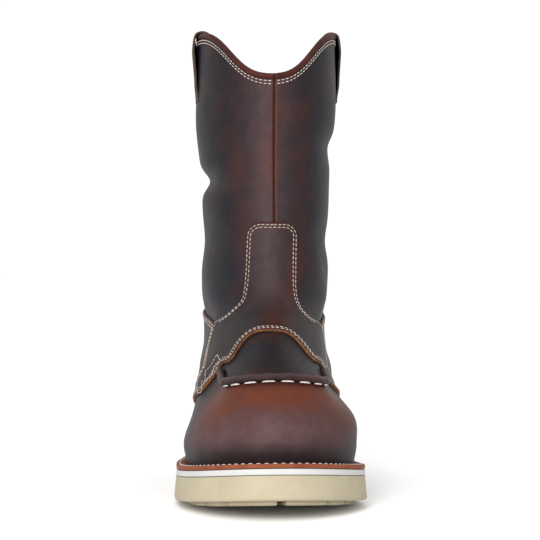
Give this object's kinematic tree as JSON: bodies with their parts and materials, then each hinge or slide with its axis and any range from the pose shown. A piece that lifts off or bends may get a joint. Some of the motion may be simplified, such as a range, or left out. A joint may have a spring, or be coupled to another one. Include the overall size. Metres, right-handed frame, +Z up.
{
  "type": "western work boot",
  "caption": "Pull-on western work boot for the right foot: scalloped leather shaft, moc toe, saddle and counter overlays, leather welt and a wedge sole.",
  "frame": {"origin": "centre of the boot's bounding box at the bottom face of the lugs", "axes": "-Y towards the toe, +X towards the inner side of the foot, +Z up towards the collar"},
  "size_m": [0.114, 0.305, 0.2981],
  "materials": {
    "outsole": "matte cream crepe-like rubber",
    "midsole": "matte off-white rubber",
    "welt": "natural tan leather with a burnished edge",
    "insole": "matte foam footbed",
    "upper": "oiled pull-up leather with a soft sheen",
    "saddle": "oiled pull-up leather with a raw tan edge",
    "counter": "oiled pull-up leather",
    "moc_ridge": "oiled pull-up leather, hand stitched",
    "collar_binding": "rolled leather binding",
    "pull_strap_inner": "flat leather strap with a dark lining",
    "pull_strap_outer": "flat leather strap with a dark lining"
  },
  "bodies": {
    "root": {"outsole": "outsole", "midsole": "midsole", "welt": "welt", "insole": "insole", "upper": "upper", "saddle": "saddle", "counter": "counter", "moc_ridge": "moc_ridge", "collar_binding": "collar_binding", "pull_strap_inner": "pull_strap_inner", "pull_strap_outer": "pull_strap_outer"}
  },
  "joints": []
}
